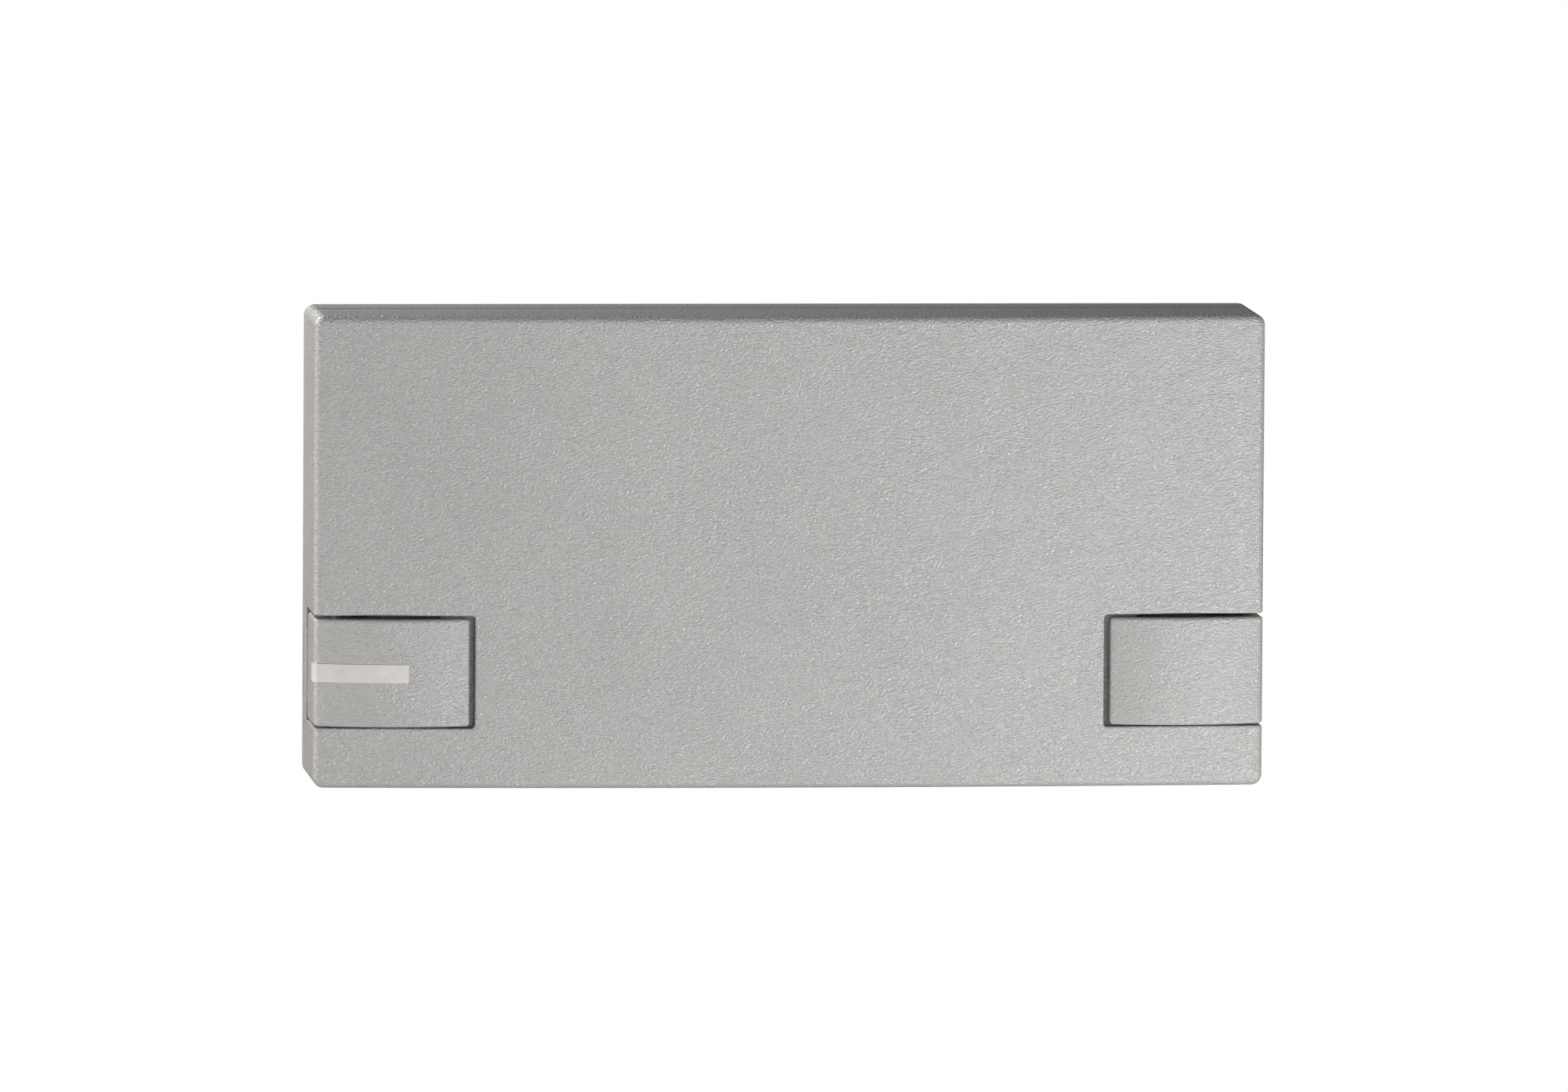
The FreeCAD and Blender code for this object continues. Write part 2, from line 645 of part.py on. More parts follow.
def latch_form(name, proud, inset_end, height):
    """Solid under the latch's curved face and outer edge, grown outwards by proud."""
    body = doc.addObject("PartDesign::Body", name)
    body.setExpression("Placement.Base.z", formula("(%s + %s) / 2" % (LATCH_LOW, LATCH_HIGH)))
    grow = "(-(%s))" % proud
    points = [
        (from_side("left", grow), "-strip_wrap"),
        (from_side("left", grow), face_level(grow, grow)),
        (from_side("left", inset_end), face_level(inset_end, grow)),
        (from_side("left", inset_end), "-strip_wrap"),
    ]
    arc = {1: ((from_side("left", "latch_apex"), "-latch_level + " + grow), "latch_radius - " + grow)}
    sketch = profile(body, name + "_outline", "XY_Plane", points, arc)
    form = pad(body, name + "_pad", sketch, height, both=True)
    level = value(from_side("left", grow)) + 0.01
    edge = rounded(
        body, name + "_edge", form,
        lambda b: b.ZLength > 3 and b.YMax < -40 and b.XMax < level, "front_fillet - " + grow,
    )
    body.Tip = edge
    return body


strip_outer = latch_form("strip_outer", "strip_proud", "strip_length", "strip_height")
strip_inner = latch_form("strip_inner", "0", "strip_length + 5", "strip_height + 2")
strip = cut("strip_finished", strip_outer, [strip_inner])
done(strip, "marking_strip")

# ---------------------------------------------------------------- keepers
for side in SIDES:
    body = doc.addObject("PartDesign::Body", "keeper_body_" + side)
    body.setExpression("Placement.Base.z", formula("(%s + %s) / 2" % (LATCH_LOW, LATCH_HIGH)))
    outline = [
        (from_side(side, "wall"), "-5"),
        (from_side(side, "wall"), "-17.6"),
        (from_side(side, "wall + 0.6"), "-17.9"),
        (from_side(side, "4.4"), "-15.8"),
        (from_side(side, "4.4"), "-14.9"),
        (from_side(side, "wall + 0.6"), "-14.3"),
        (from_side(side, "wall + 0.6"), "-5"),
    ]
    sketch = profile(body, "keeper_outline_" + side, "XY_Plane", outline)
    keeper = pad(body, "keeper_pad_" + side, sketch, "2 * keeper_half", both=True)
    body.Tip = keeper
    done(body, "keeper_" + side)

# ---------------------------------------------------------------- cells
CELL_Y = "-cell_depth"
CELL_TOP = "cell_low + cell_length"
for i in range(8):
    x = "%s * cell_pitch" % (i - 3.5)
    can = rod("can_%d" % i, "z", "cell_radius", ("cell_low", CELL_TOP), (x, CELL_Y))
    doc.recompute()
    crimp = ring("crimp_%d" % i, "z", "cell_radius + 0.35", "0.9", x, CELL_Y, CELL_TOP + " - 4.5")
    crimped = cut("crimped_%d" % i, can, [crimp])
    done(crimped, "cell_%d" % (i + 1))


def holder(name, plate, sockets, channel, ear_z):
    """Tray with a socket for the end of each cell, and an ear at each end."""
    z_low, z_high = plate
    whole = [
        box(name + "_block", ("-holder_half_width", "holder_half_width"),
            (CELL_Y + " - holder_half_depth", CELL_Y + " + holder_half_depth"), plate)
    ]
    ear_y = ("-ear_front", "-ear_rear")
    ear_span = (ear_z + " - ear_half", ear_z + " + ear_half")
    whole.append(box(name + "_ear_left", ("-ear_reach", "-holder_half_width + 1"), ear_y, ear_span))
    whole.append(box(name + "_ear_right", ("holder_half_width - 1", "ear_reach"), ear_y, ear_span))
    cuts = []
    for i in range(8):
        x = "%s * cell_pitch" % (i - 3.5)
        cuts.append(rod("%s_socket_%d" % (name, i), "z", "cell_radius + socket_play", sockets, (x, CELL_Y)))
        cuts.append(rod("%s_window_%d" % (name, i), "z", "window_radius", (z_low + " - 1", z_high + " + 1"),
                        (x, CELL_Y)))
    cuts.append(box(name + "_channel", ("-3.9 * cell_pitch", "3.9 * cell_pitch"),
                    (CELL_Y + " - strip_half - 0.2", CELL_Y + " + strip_half + 0.2"), channel))
    for i, sign in enumerate(("-", "")):
        cuts.append(rod("%s_ear_hole_%d" % (name, i), "y", "1.6", ("-ear_front - 1", "-ear_rear + 1"),
                        (sign + "ear_x", ear_z)))
    return cut(name + "_cut", fuse(name + "_whole", whole), cuts)


high_plate = (CELL_TOP + " - socket_depth", CELL_TOP + " + holder_plate")
done(
    holder("upper", high_plate, (CELL_TOP + " - socket_depth - 1", CELL_TOP + " + 0.01"),
           (CELL_TOP + " - 0.5", CELL_TOP + " + strip_thickness + 0.1"), "ear_high"),
    "holder_upper",
)
low_plate = ("cell_low - holder_plate", "cell_low + socket_depth")
done(
    holder("lower", low_plate, ("cell_low - 0.01", "cell_low + socket_depth + 1"),
           ("cell_low - strip_thickness - 0.1", "cell_low + 0.5"), "ear_low"),
    "holder_lower",
)


def busbar(name, first, last, z):
    x = ("%s * cell_pitch - 9" % (first - 3.5), "%s * cell_pitch + 9" % (last - 3.5))
    done(box(name + "_strip", x, (CELL_Y + " - strip_half", CELL_Y + " + strip_half"), z), name)


top_strip = (CELL_TOP, CELL_TOP + " + strip_thickness")
low_strip = ("cell_low - strip_thickness", "cell_low")
busbar("busbar_top_left", 0, 3, top_strip)
busbar("busbar_top_right", 4, 7, top_strip)
busbar("busbar_negative", 0, 1, low_strip)
busbar("busbar_middle", 2, 5, low_strip)
busbar("busbar_positive", 6, 7, low_strip)


def screw(name, x, z, head_rear, head_radius, head_height, shank_radius, shank_rear):
    """Pan head screw along Y with a cross recess, its head's underside at head_rear."""
    head_y = ("-(%s) - %s" % (head_rear, head_height), "-(%s)" % head_rear)
    head = rod(name + "_head", "y", head_radius, head_y, (x, z))
    shank = rod(name + "_shank", "y", shank_radius, ("-(%s) - 0.2" % head_rear, "-(%s)" % shank_rear), (x, z))
    whole = fuse(name + "_whole", [head, shank])
    front = "-(%s) - %s" % (head_rear, head_height)
    depth = (front + " - 1", front + " + %s * 0.55" % head_height)
    long_x = box(name + "_slot_a", (x + " - %s * 0.6" % head_radius, x + " + %s * 0.6" % head_radius), depth,
                 (z + " - 0.35", z + " + 0.35"))
    long_z = box(name + "_slot_b", (x + " - 0.35", x + " + 0.35"), depth,
                 (z + " - %s * 0.6" % head_radius, z + " + %s * 0.6" % head_radius))
    return cut(name, whole, [long_x, long_z])


done(
    group("pack_screw_set", [screw("pack_screw_%d" % i, x, z, "ear_front", "2.7", "1.8", "1.25", "5")
                             for i, (x, z) in enumerate(ear_spots)]),
    "pack_screws",
)

# ---------------------------------------------------------------- cable entry
grommet_parts = [
    rod("grommet_rear", "y", "entry_hole + 2.5", ("-1.2", "-0.1"), ("entry_x", "entry_z")),
    rod("grommet_neck", "y", "entry_hole", ("-back_wall - 0.5", "-0.6"), ("entry_x", "entry_z")),
    rod("grommet_front", "y", "entry_hole + 2.5", ("-back_wall - 2", "-back_wall"), ("entry_x", "entry_z")),
]
grommet_bore = rod("grommet_bore", "y", "cable_radius", ("-20", "5"), ("entry_x", "entry_z"))
done(cut("grommet", fuse("grommet_whole", grommet_parts), [grommet_bore]), "cable_grommet")

clamp_block = box("clamp_block", ("-46", "-38"), ("-12.5", "-9"), ("entry_z - 13", "entry_z + 13"))
clamp_cuts = [rod("clamp_saddle", "x", "cable_radius + 0.2", ("-50", "-30"), ("-7.5", "entry_z"))]
for i, (x, z) in enumerate(clamp_spots):
    clamp_cuts.append(rod("clamp_screw_hole_%d" % i, "y", "1.3", ("-14", "-8"), (x, z)))
done(cut("clamp_bar", clamp_block, clamp_cuts), "cable_clamp")
done(
    group("clamp_screw_set", [screw("clamp_screw_%d" % i, x, z, "12.5", "2.3", "1.6", "1.0", "5")
                              for i, (x, z) in enumerate(clamp_spots)]),
    "clamp_screws",
)

# ---------------------------------------------------------------- control board
board_blank = box("board_blank", ("board_left", "board_right"), ("-board_front", "-board_rear"),
                  ("board_low", "board_high"))
board_holes = [rod("board_screw_hole_%d" % i, "y", "1.3", ("-board_front - 1", "-board_rear + 1"), spot)
               for i, spot in enumerate(board_spots)]
done(cut("board_cut", board_blank, board_holes), "control_board")
done(
    group("board_screw_set", [screw("board_screw_%d" % i, x, z, "board_front", "2.3", "1.6", "1.0", "5")
                              for i, (x, z) in enumerate(board_spots)]),
    "board_screws",
)

BOARD = "-board_front"


def on_board(name, x, z, height, lift="0"):
    """Block standing on the board's front face."""
    return box(name, x, ("%s - %s - %s" % (BOARD, lift, height), "%s - %s" % (BOARD, lift)), z)


# power transistors in a row, with a finned heat sink over them
transistors = []
for i in range(5):
    x = 36 + 7.2 * i
    transistors.append(on_board("transistor_%d" % i, (x, x + 6), (-48, -38), "2.2"))
done(group("transistor_row", transistors), "mosfets")
sink = [on_board("sink_plate", (35, 71.8), (-50, -32), "2.5", "2.2")]
for i in range(8):
    x = 35 + i * 5
    sink.append(on_board("sink_fin_%d" % i, (x, x + 1.8), (-50, -32), "8", "4.4"))
done(fuse("sink", sink), "heatsink")
done(on_board("chip", (22, 31), (-52, -43), "1.4"), "controller_chip")


def can_capacitor(name, x, z, radius, height):
    body = rod(name + "_can", "y", radius, ("%s - %s" % (BOARD, height), BOARD), (x, z))
    groove = ring(name + "_groove", "y", radius + " + 0.3", "0.6", x, "%s - 2.2" % BOARD, z)
    return cut(name + "_grooved", body, [groove])


capacitors = [can_capacitor("capacitor_" + key, x, "-34", "4", "12") for key, x in (("a", "24"), ("b", "15"))]
done(group("capacitor_pair", capacitors), "capacitors")
core = ring("core_ring", "y", "4.6", "2", "4", "%s - 3" % BOARD, "-34")
done(core, "inductor")
done(on_board("tap_block", (20, 34), (-26.5, -21), "7"), "balance_connector")
holder_cut = on_board("fuse_slot", (-3.2, 16.2), (-52.3, -48.7), "7.5", "1.6")
fuse_block = on_board("fuse_block", (-5, 18), (-54, -47), "8")
done(cut("fuse_base", fuse_block, [holder_cut]), "fuse_holder")
fuse_top = on_board("fuse_top", (-2.8, 15.8), (-52.2, -48.8), "9", "7")
fuse_legs = []
for i, x in enumerate((-2.4, 10.4)):
    fuse_legs.append(on_board("fuse_leg_%d" % i, (x, x + 5), (-51, -50), "6", "1.7"))
done(fuse("fuse_whole", [fuse_top] + fuse_legs), "blade_fuse")
terminal_solid = on_board("terminal_solid", (-26, -14), (-50, -30), "12")
terminal_cuts = []
for i, z in enumerate((-45, -35)):
    well_y = (BOARD + " - 13", BOARD + " - 7")
    terminal_cuts.append(rod("terminal_well_%d" % i, "y", "2.3", well_y, ("-19", str(z))))
    mouth_y = (BOARD + " - 6", BOARD + " - 1.5")
    terminal_cuts.append(box("terminal_mouth_%d" % i, (-27, -21), mouth_y, (z - 3, z + 3)))
done(cut("terminal_cut", terminal_solid, terminal_cuts), "terminal_block")
terminal_set = []
for i, z in enumerate((-45, -35)):
    head = rod("terminal_head_%d" % i, "y", "2.2", ("%s - 10" % BOARD, "%s - 7" % BOARD), ("-19", str(z)))
    slot_y = (BOARD + " - 11", BOARD + " - 9")
    slot = box("terminal_slot_%d" % i, (-21.5, -16.5), slot_y, (z - 0.4, z + 0.4))
    terminal_set.append(cut("terminal_screw_%d" % i, head, [slot]))
done(group("terminal_screw_set", terminal_set), "terminal_screws")


# ---------------------------------------------------------------- internal leads
def lead(points, radius, bend):
    """Round wire through the points, with an arc of the bend radius at each turn."""
    spots = [V(*point) for point in points]
    pieces = []
    start = spots[0]
    for before, here, after in zip(spots, spots[1:], spots[2:]):
        inward = (before - here).normalize()
        outward = (after - here).normalize()
        first = here + inward * bend
        last = here + outward * bend
        middle = here + (inward + outward) * bend * (1 - 0.5 ** 0.5)
        pieces.append(Part.LineSegment(start, first).toShape())
        pieces.append(Part.Arc(first, middle, last).toShape())
        start = last
    pieces.append(Part.LineSegment(start, spots[-1]).toShape())
    path = Part.Wire(pieces)
    heading = spots[1] - spots[0]
    ring_edge = Part.Circle(spots[0], heading, radius).toShape()
    return path.makePipeShell([Part.Wire([ring_edge])], True, False)


def wires(label, runs, radius, bend):
    item = doc.addObject("Part::Feature", label + "_run")
    solids = [lead(points, radius, bend) for points in runs]
    item.Shape = solids[0] if len(solids) == 1 else Part.makeCompound(solids)
    item.Placement = FreeCAD.Placement()
    done(item, label)


pitch = value("cell_pitch")
deep = -value("cell_depth")
low_end = value("cell_low - strip_thickness")
high_end = value("cell_low + cell_length + strip_thickness")
board = -value("board_front")
wires(
    "lead_negative",
    [[(-2.5 * pitch, deep, low_end), (-2.5 * pitch, deep, -17.6), (-21, deep, -17.6), (-21, deep, -25.5),
      (-21, board, -25.5)]],
    1.3, 2.6,
)
wires(
    "lead_positive",
    [[(2.5 * pitch, deep, low_end), (2.5 * pitch, deep, -29), (2.5 * pitch, board, -29)]],
    1.3, 2.6,
)
taps = []
for sign, x in ((-1, 23.0), (1, 31.0)):
    over = high_end + 2.7
    front = -34.6
    start = sign * 0.5 * pitch
    taps.append([(start, deep, high_end), (start, deep, over), (start, front, over), (start, front, -17.0),
                 (x, front, -17.0), (x, front, -24.0), (x, board - 7, -24.0)])
taps.append([(1.5 * pitch, deep, low_end), (1.5 * pitch, deep, -16.8), (27, deep, -16.8),
             (27, -26.0, -16.8), (27, -26.0, -24.0), (27, board - 7, -24.0)])
wires("balance_leads", taps, 0.65, 1.4)

# ---------------------------------------------------------------- check and export
doc.recompute()
doc.removeObject(reader.Name)
doc.recompute()
for item in doc.Objects:
    bad = [state for state in item.State if state in ("Invalid", "Error")]
    if bad:
        raise RuntimeError("%s: %s" % (item.Name, bad))
os.makedirs("parts", exist_ok=True)
for item in finished:
    if item.Shape.isNull() or not item.Shape.isValid():
        raise RuntimeError("%s has no valid shape" % item.Label)
    item.Shape.exportStep("parts/%s.step" % item.Label)
    print(item.Label, len(item.Shape.Solids), round(item.Shape.Volume, 1))
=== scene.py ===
import json
import math

import bpy
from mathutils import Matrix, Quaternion, Vector


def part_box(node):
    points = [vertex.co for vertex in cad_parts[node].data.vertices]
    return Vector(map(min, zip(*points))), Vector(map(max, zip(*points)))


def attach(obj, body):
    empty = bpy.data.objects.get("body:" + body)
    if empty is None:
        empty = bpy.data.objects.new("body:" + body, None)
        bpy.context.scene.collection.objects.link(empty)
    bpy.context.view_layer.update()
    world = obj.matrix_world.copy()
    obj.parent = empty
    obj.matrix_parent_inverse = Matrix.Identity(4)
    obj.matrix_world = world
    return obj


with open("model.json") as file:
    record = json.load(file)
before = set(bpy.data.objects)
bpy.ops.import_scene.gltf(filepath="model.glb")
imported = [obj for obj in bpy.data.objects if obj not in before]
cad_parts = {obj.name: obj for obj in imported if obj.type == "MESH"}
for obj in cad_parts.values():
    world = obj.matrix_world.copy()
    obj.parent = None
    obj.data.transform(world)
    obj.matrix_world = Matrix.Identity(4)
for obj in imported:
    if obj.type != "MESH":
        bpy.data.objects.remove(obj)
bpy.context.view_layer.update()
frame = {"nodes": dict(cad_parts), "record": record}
nodes = frame["nodes"]
MM = 0.001
WHITE = (1.0, 1.0, 1.0, 1.0)

# ---------------------------------------------------------------- camera
case_low, case_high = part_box("base_shell")
CENTRE = Vector(((case_low.x + case_high.x) / 2, 0.0, (case_low.z + case_high.z) / 2))
FRONT = -0.043        # depth of the case's front at its sides
EYE = CENTRE + Vector((-0.526, FRONT - 5.44, 0.484))
AIM = CENTRE + Vector((-0.0016, FRONT, 0.0014))
ROLL = 0.35

camera_data = bpy.data.cameras.new("camera")
camera_data.sensor_width = 36.0
camera_data.lens = 477.0
camera_data.clip_start = 0.05
camera_data.clip_end = 200.0
camera = bpy.data.objects.new("camera", camera_data)
bpy.context.scene.collection.objects.link(camera)
camera.location = EYE
level = Quaternion((0.0, 0.0, 1.0), math.radians(ROLL))
camera.rotation_euler = ((AIM - EYE).to_track_quat("-Z", "Y") @ level).to_euler()
bpy.context.scene.camera = camera


# ---------------------------------------------------------------- materials
class Material:
    """A node material with short calls for the nodes used here."""

    def __init__(self, name):
        self.data = bpy.data.materials.new(name)
        self.data.use_nodes = True
        self.tree = self.data.node_tree
        self.shader = self.tree.nodes["Principled BSDF"]
        self.place = self.tree.nodes.new("ShaderNodeTexCoord").outputs["Object"]

    def link(self, source, target):
        self.tree.links.new(source, target)

    def node(self, kind, inputs=None, **settings):
        item = self.tree.nodes.new(kind)
        for key, setting in settings.items():
            setattr(item, key, setting)
        for key, given in (inputs or {}).items():
            socket = item.inputs[key]
            if isinstance(given, bpy.types.NodeSocket):
                self.link(given, socket)
            else:
                socket.default_value = given
        return item

    def noise(self, size, detail=2.0, roughness=0.5, place=None):
        """Noise with features of about the given size in metres."""
        item = self.node(
            "ShaderNodeTexNoise",
            {
                "Vector": place or self.place,
                "Scale": 1.0 / size,
                "Detail": detail,
                "Roughness": roughness,
            },
        )
        return item.outputs["Fac"]

    def math(self, operation, first, second=0.0):
        item = self.tree.nodes.new("ShaderNodeMath")
        item.operation = operation
        for socket, given in zip(item.inputs, (first, second)):
            if isinstance(given, bpy.types.NodeSocket):
                self.link(given, socket)
            else:
                socket.default_value = given
        return item.outputs[0]

    def ramp(self, source, stops):
        item = self.node("ShaderNodeValToRGB", {"Fac": source})
        elements = item.color_ramp.elements
        while len(elements) < len(stops):
            elements.new(0.5)
        for element, (position, colour) in zip(elements, stops):
            element.position = position
            element.color = (*colour, 1.0)
        return item.outputs["Color"]

    def spread(self, source, low, high, from_low=0.3, from_high=0.7):
        item = self.node(
            "ShaderNodeMapRange",
            {
                "Value": source,
                "From Min": from_low,
                "From Max": from_high,
                "To Min": low,
                "To Max": high,
            },
        )
        return item.outputs["Result"]

    def colour(self, source):
        self.link(source, self.shader.inputs["Base Color"])

    def rough(self, source):
        self.link(source, self.shader.inputs["Roughness"])

    def bump(self, height, distance, strength=1.0):
        item = self.node(
            "ShaderNodeBump", {"Height": height, "Distance": distance, "Strength": strength}
        )
        self.link(item.outputs["Normal"], self.shader.inputs["Normal"])


def tinted(base, factor):
    return tuple(min(1.0, channel * factor) for channel in base)


def leather_plastic(name, base, grain=0.0006, depth=0.00042):
    """Moulded plastic with a fine, slightly slanted pebbled grain."""
    m = Material(name)
    turned = m.node(
        "ShaderNodeMapping",
        {"Vector": m.place, "Rotation": (0.0, 0.6, 0.0), "Scale": (0.8, 1.0, 1.5)},
    ).outputs[0]
    swell = m.noise(grain, 2.0, 0.45, turned)
    pebbles = m.node(
        "ShaderNodeTexVoronoi", {"Vector": turned, "Scale": 0.8 / grain}, feature="SMOOTH_F1"
    )
    pebbles.inputs["Smoothness"].default_value = 0.8
    dome = m.math("MULTIPLY", pebbles.outputs["Distance"], -0.25)
    height = m.math("ADD", swell, dome)
    m.bump(height, depth)
    broad = m.noise(0.03)
    patches = m.math("ADD", m.math("MULTIPLY", swell, 0.5), m.math("MULTIPLY", broad, 0.5))
    m.colour(m.ramp(patches, [(0.3, tinted(base, 0.96)), (0.7, tinted(base, 1.04))]))
    m.rough(m.spread(swell, 0.24, 0.28))
    m.shader.inputs["Specular IOR Level"].default_value = 0.85
    return m.data


def plain_plastic(name, base, size=0.004, change=0.06, rough=(0.4, 0.5), depth=0.00002):
    m = Material(name)
    spots = m.noise(size, 3.0)
    m.colour(m.ramp(spots, [(0.3, tinted(base, 1 - change)), (0.7, tinted(base, 1 + change))]))
    m.rough(m.spread(m.noise(size / 3, 2.0), *rough))
    m.bump(m.noise(size / 5, 2.0), depth)
    return m.data


def brushed_metal(name, base, rough=(0.25, 0.42), stretch=(1.0, 12.0, 1.0), depth=0.00001):
    m = Material(name)
    m.shader.inputs["Metallic"].default_value = 1.0
    lines = m.node(
        "ShaderNodeVectorMath", {0: m.place, 1: stretch}, operation="MULTIPLY"
    ).outputs[0]
    grain = m.noise(0.002, 3.0, 0.6, lines)
    m.colour(m.ramp(grain, [(0.3, tinted(base, 0.9)), (0.7, tinted(base, 1.05))]))
    m.rough(m.spread(grain, *rough))
    m.bump(grain, depth)
    return m.data


def board_mask(name, base):
    """Green solder mask with faint copper tracks under it."""
    m = Material(name)
    tracks = m.node("ShaderNodeTexBrick", {"Vector": m.place, "Scale": 260.0})
    tracks.inputs["Mortar Size"].default_value = 0.03
    lines = tracks.outputs["Fac"]
    mixed = m.node(
        "ShaderNodeMix", {"Factor": m.math("MULTIPLY", lines, 0.6)}, data_type="RGBA"
    )
    mixed.inputs["A"].default_value = (*base, 1.0)
    mixed.inputs["B"].default_value = (*tinted(base, 1.9), 1.0)
    m.colour(mixed.outputs["Result"])
    m.rough(m.spread(m.noise(0.003), 0.25, 0.4))
    m.bump(lines, 0.00003)
    return m.data


MATERIALS = {
    "case_plastic": leather_plastic("case_plastic", (0.46, 0.455, 0.44)),
    "strip": plain_plastic("strip", (0.66, 0.63, 0.60), rough=(0.35, 0.45)),
    "steel": brushed_metal("steel", (0.62, 0.62, 0.63)),
    "spring_steel": brushed_metal("spring_steel", (0.45, 0.45, 0.47)),
    "black_plastic": plain_plastic(
        "black_plastic", (0.03, 0.03, 0.033), change=0.2, rough=(0.45, 0.6)
    ),
    "grommet_rubber": plain_plastic(
        "grommet_rubber", (0.02, 0.02, 0.021), change=0.25, rough=(0.7, 0.85)
    ),
    "board": board_mask("board", (0.012, 0.11, 0.045)),
    "component_black": plain_plastic(
        "component_black", (0.02, 0.02, 0.021), change=0.2, rough=(0.45, 0.6)
    ),
    "heatsink_aluminium": brushed_metal(
        "heatsink_aluminium", (0.5, 0.51, 0.53), rough=(0.45, 0.6)
    ),
    "capacitor_sleeve": plain_plastic("capacitor_sleeve", (0.02, 0.03, 0.09), rough=(0.2, 0.3)),
    "connector_white": plain_plastic("connector_white", (0.75, 0.73, 0.66)),
    "fuse_plastic": plain_plastic("fuse_plastic", (0.75, 0.25, 0.02), rough=(0.15, 0.25)),
    "terminal_green": plain_plastic("terminal_green", (0.03, 0.22, 0.08)),
    "terminal_metal": brushed_metal("terminal_metal", (0.68, 0.64, 0.52)),
    "lead_black": plain_plastic("lead_black", (0.025, 0.025, 0.025), rough=(0.35, 0.45)),
    "lead_red": plain_plastic("lead_red", (0.5, 0.02, 0.015), rough=(0.35, 0.45)),
    "tap_sleeve": plain_plastic("tap_sleeve", (0.62, 0.6, 0.52), rough=(0.35, 0.45)),
    "cell_sleeve": plain_plastic("cell_sleeve", (0.03, 0.12, 0.3), size=0.01, rough=(0.18, 0.28)),
    "nickel": brushed_metal("nickel", (0.66, 0.62, 0.55), rough=(0.2, 0.32)),
}

for row in frame["record"]["subparts"]:
    mesh = nodes[row["node"]].data
    mesh.materials.clear()
    mesh.materials.append(MATERIALS[row["material_slot"]])

# ---------------------------------------------------------------- small parts on the board
board_low, board_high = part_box("control_board")
FACE = board_low.y    # the board's parts stand on this face and grow towards -Y


def mesh_piece(name, verts, faces, slot, smooth=False):
    """A new mesh that rides on the rear shell."""
    mesh = bpy.data.meshes.new(name)
    mesh.from_pydata(verts, [], faces)
    mesh.validate()
    mesh.materials.append(MATERIALS[slot])
    for polygon in mesh.polygons:
        polygon.use_smooth = smooth
    piece = bpy.data.objects.new(name, mesh)
    bpy.context.scene.collection.objects.link(piece)
    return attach(piece, "base")


def add_solid(verts, faces, rings):
    """Joins closed rings of points, all the same length, into one closed skin."""
    first = len(verts)
    count = len(rings[0])
    for ring in rings:
        verts.extend(ring)
    for level in range(len(rings) - 1):
        low = first + level * count
        for i in range(count):
            j = (i + 1) % count
            faces.append((low + i, low + j, low + count + j, low + count + i))
    faces.append(tuple(first + i for i in reversed(range(count))))
    top = first + (len(rings) - 1) * count
    faces.append(tuple(top + i for i in range(count)))


def bevelled_ring(x, y, z, half_x, half_z, bevel):
    """Eight-sided outline in a plane of constant y."""
    corners = []
    for dx, dz in ((-1, -1), (1, -1), (1, 1), (-1, 1)):
        a = (x + dx * half_x, y, z + dz * (half_z - bevel))
        b = (x + dx * (half_x - bevel), y, z + dz * half_z)
        corners.extend((a, b) if dx == dz else (b, a))
    return corners


def add_block(verts, faces, x, z, half_x, half_z, height, bevel):
    """Block standing on the board with its upright and top edges bevelled."""
    rings = [
        bevelled_ring(x, FACE, z, half_x, half_z, bevel),
        bevelled_ring(x, FACE - height + bevel, z, half_x, half_z, bevel),
        bevelled_ring(x, FACE - height, z, half_x - bevel, half_z - bevel, bevel * 0.5),
    ]
    add_solid(verts, faces, rings)


# chip resistors and capacitors: x, z and length in millimetres, and whether each lies along X
CHIPS = (
    [(20.6, z, 2.0, False) for z in (-50.0, -45.5)]
    + [(32.8, z, 2.0, False) for z in (-50.0, -45.5)]
    + [(x, z, 2.0, True) for x in (24.0, 28.5) for z in (-40.8, -54.4)]
    + [(x, -26.0, 3.2, False) for x in (39.0, 43.5, 48.0, 52.5, 57.0, 61.5)]
    + [(-9.5, z, 3.2, False) for z in (-45.0, -39.5, -34.0)]
    + [(x, -24.5, 2.0, True) for x in (-9.0, -4.0, 1.0, 6.0, 11.0)]
    + [(x, -54.2, 3.2, True) for x in (40.0, 46.0, 52.0, 58.0)]
)
body_verts, body_faces = [], []
end_verts, end_faces = [], []
for x, z, length, flat in CHIPS:
    half = length / 2 * MM
    side = length / 4 * MM
    cap = 0.18 * length * MM
    height = 0.32 * length * MM
    inner = half - cap
    extent = (inner, side) if flat else (side, inner)
    add_block(body_verts, body_faces, x * MM, z * MM, *extent, height, 0.08 * MM)
    for sign in (-1, 1):
        shift = sign * (half - cap / 2)
        centre = (x * MM + shift, z * MM) if flat else (x * MM, z * MM + shift)
        grown = side + 0.06 * MM
        extent = (cap / 2, grown) if flat else (grown, cap / 2)
        add_block(end_verts, end_faces, *centre, *extent, height + 0.06 * MM, 0.1 * MM)
mesh_piece("board_chip_bodies", body_verts, body_faces, "component_black")
mesh_piece("board_chip_ends", end_verts, end_faces, "terminal_metal")

leg_verts, leg_faces = [], []


def add_leg(x, z, dx, dz, run, rise, half_width, thick):
    """Flat leg that leaves a package at a height, bends down and lies on the board."""
    path = [(0.0, rise), (0.28 * run, rise), (0.5 * run, thick), (run, thick)]
    across = (-dz * half_width, dx * half_width)
    rings = []
    for along, up in path:
        cx, cz = x + dx * along, z + dz * along
        rings.append([
            (cx - across[0], FACE - up, cz - across[1]),
            (cx - across[0], FACE - up + thick, cz - across[1]),
            (cx + across[0], FACE - up + thick, cz + across[1]),
            (cx + across[0], FACE - up, cz + across[1]),
        ])
    add_solid(leg_verts, leg_faces, rings)


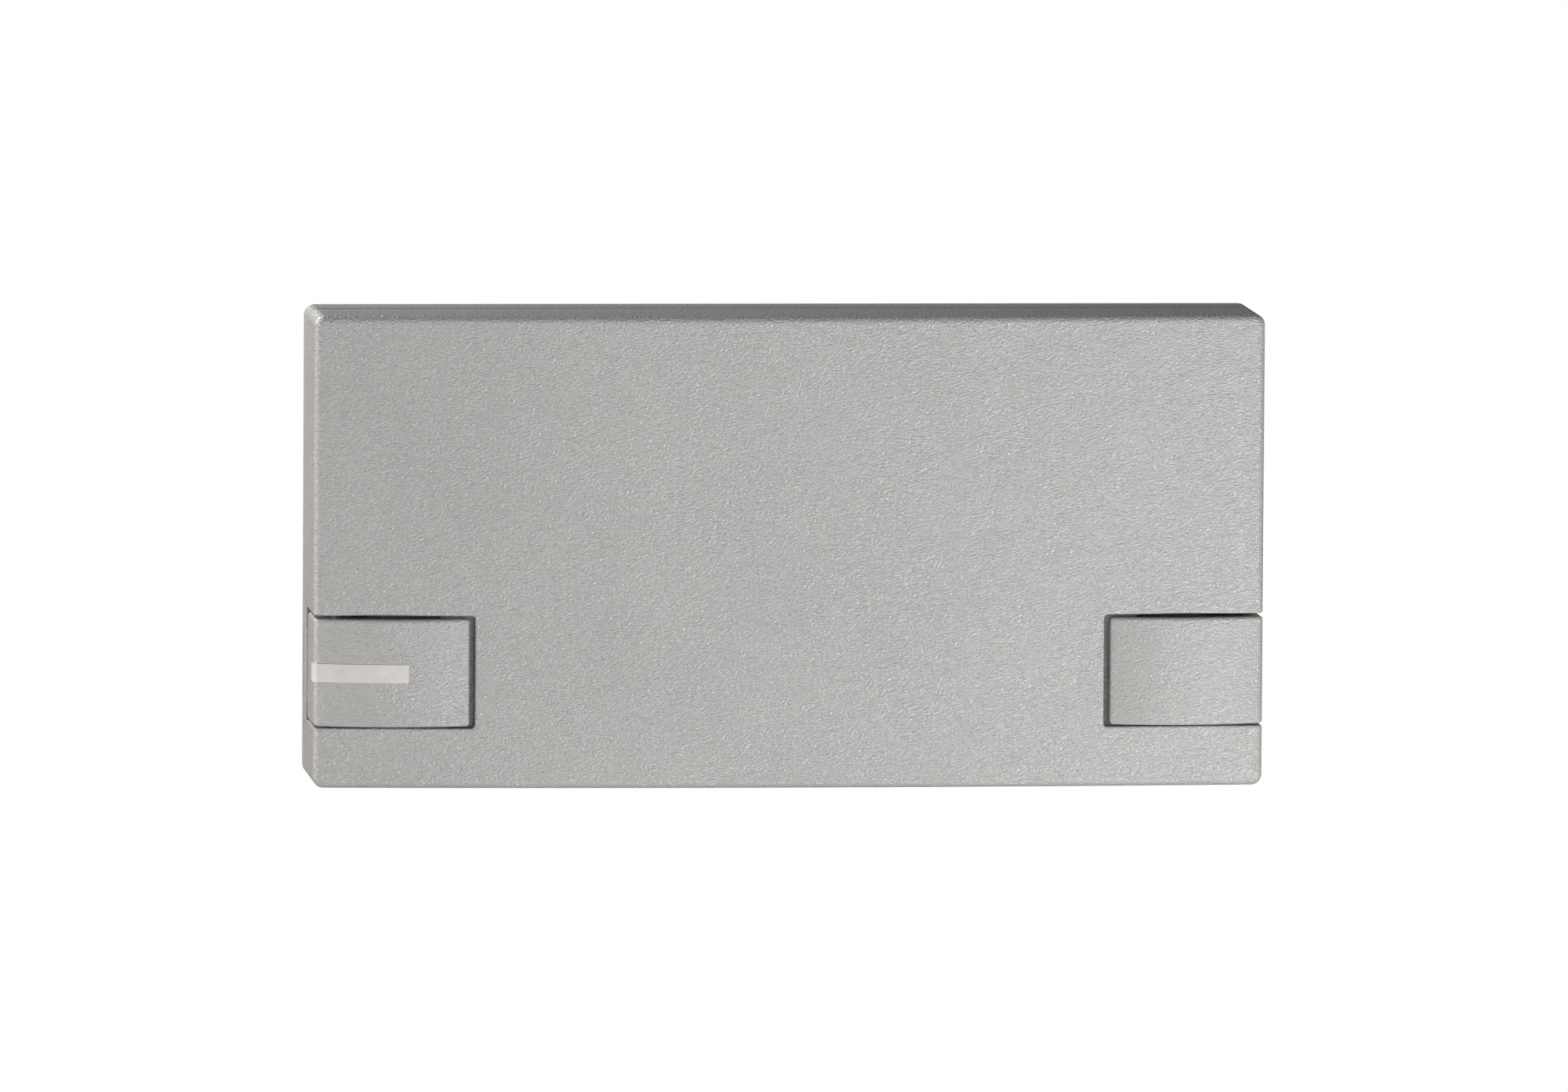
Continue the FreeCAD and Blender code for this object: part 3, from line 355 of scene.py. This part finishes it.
# six legs on each side of the controller chip, and three under each power transistor
CHIP_ROWS = 6
chip_low, chip_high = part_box("controller_chip")
for i in range(CHIP_ROWS):
    z = chip_low.z + (chip_high.z - chip_low.z) * (i + 0.5) / CHIP_ROWS
    for x, sign in ((chip_low.x, -1), (chip_high.x, 1)):
        add_leg(x, z, sign, 0, 1.1 * MM, 0.7 * MM, 0.2 * MM, 0.15 * MM)
TRANSISTORS, PITCH, LEG_PITCH = 5, 7.2, 1.9
row_low, row_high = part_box("mosfets")
for i in range(TRANSISTORS):
    for j in (-1, 0, 1):
        x = row_low.x + (3.0 + PITCH * i + LEG_PITCH * j) * MM
        add_leg(x, row_low.z, 0, -1, 3.4 * MM, 1.1 * MM, 0.45 * MM, 0.3 * MM)
mesh_piece("board_component_legs", leg_verts, leg_faces, "terminal_metal")

# solder cones where the leads land on the board: radius and height above it, in millimetres
CONE = ((2.5, 0.0), (2.3, 0.3), (1.8, 0.8), (1.5, 1.5), (1.32, 2.2))
CONE_SIDES = 32
LEAD_RADIUS = 1.3 * MM
solder_verts, solder_faces = [], []
for lead in ("lead_negative", "lead_positive"):
    lead_low, lead_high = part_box(lead)
    x = lead_high.x - LEAD_RADIUS if lead == "lead_negative" else (lead_low.x + lead_high.x) / 2
    z = lead_low.z + LEAD_RADIUS
    rings = []
    for radius, up in CONE:
        ring = []
        for i in range(CONE_SIDES):
            turn = 2 * math.pi * i / CONE_SIDES
            across = radius * MM * math.cos(turn)
            along = radius * MM * math.sin(turn)
            ring.append((x + across, FACE - up * MM, z + along))
        rings.append(ring)
    add_solid(solder_verts, solder_faces, rings)
mesh_piece("lead_solder_cones", solder_verts, solder_faces, "terminal_metal", smooth=True)

# ---------------------------------------------------------------- floor and light
FLOOR_HALF = 60.0
FLOOR_DROP = -3.0


def seen_as_white(tree, lit, output, kind):
    """White to the camera, and the given shader to every other ray."""
    white = tree.nodes.new(kind)
    white.inputs["Color"].default_value = WHITE
    white.inputs["Strength"].default_value = 1.0
    rays = tree.nodes.new("ShaderNodeLightPath")
    mix = tree.nodes.new("ShaderNodeMixShader")
    tree.links.new(rays.outputs["Is Camera Ray"], mix.inputs["Fac"])
    tree.links.new(lit.outputs[0], mix.inputs[1])
    tree.links.new(white.outputs[0], mix.inputs[2])
    tree.links.new(mix.outputs[0], tree.nodes[output].inputs["Surface"])


floor_mesh = bpy.data.meshes.new("floor")
floor_corners = ((-1, -1), (1, -1), (1, 1), (-1, 1))
floor_mesh.from_pydata(
    [(x * FLOOR_HALF, y * FLOOR_HALF, FLOOR_DROP) for x, y in floor_corners], [], [(0, 1, 2, 3)]
)
floor = bpy.data.objects.new("floor", floor_mesh)
bpy.context.scene.collection.objects.link(floor)
floor_material = bpy.data.materials.new("floor")
floor_material.use_nodes = True
floor_shader = floor_material.node_tree.nodes["Principled BSDF"]
floor_shader.inputs["Base Color"].default_value = (0.8, 0.8, 0.8, 1.0)
floor_shader.inputs["Roughness"].default_value = 0.9
seen_as_white(floor_material.node_tree, floor_shader, "Material Output", "ShaderNodeEmission")
floor_mesh.materials.append(floor_material)

world = bpy.data.worlds.new("world")
bpy.context.scene.world = world
world.use_nodes = True
ambient = world.node_tree.nodes["Background"]
ambient.inputs["Color"].default_value = WHITE
ambient.inputs["Strength"].default_value = 0.05
seen_as_white(world.node_tree, ambient, "World Output", "ShaderNodeBackground")
bpy.context.scene.view_settings.view_transform = "Standard"


def lamp(name, place, power, size, tint=(1.0, 1.0, 1.0)):
    """Round lamp aimed at the case, in watts and metres."""
    data = bpy.data.lights.new(name, "AREA")
    data.shape = "DISK"
    data.size = size
    data.energy = power
    data.color = tint
    item = bpy.data.objects.new(name, data)
    bpy.context.scene.collection.objects.link(item)
    item.location = Vector(place)
    item.visible_camera = False
    item.rotation_euler = (CENTRE - item.location).to_track_quat("-Z", "Y").to_euler()


lamp("key", (0.62, -0.80, -0.40), 7.8, 0.12)
lamp("front", (0.15, -2.3, -0.2), 17.0, 1.4)
lamp("fill", (-2.0, -0.1, 0.1), 42.0, 1.8, (1.0, 0.955, 0.93))
lamp("above", (-0.32, 0.22, 0.33), 2.0, 0.2)
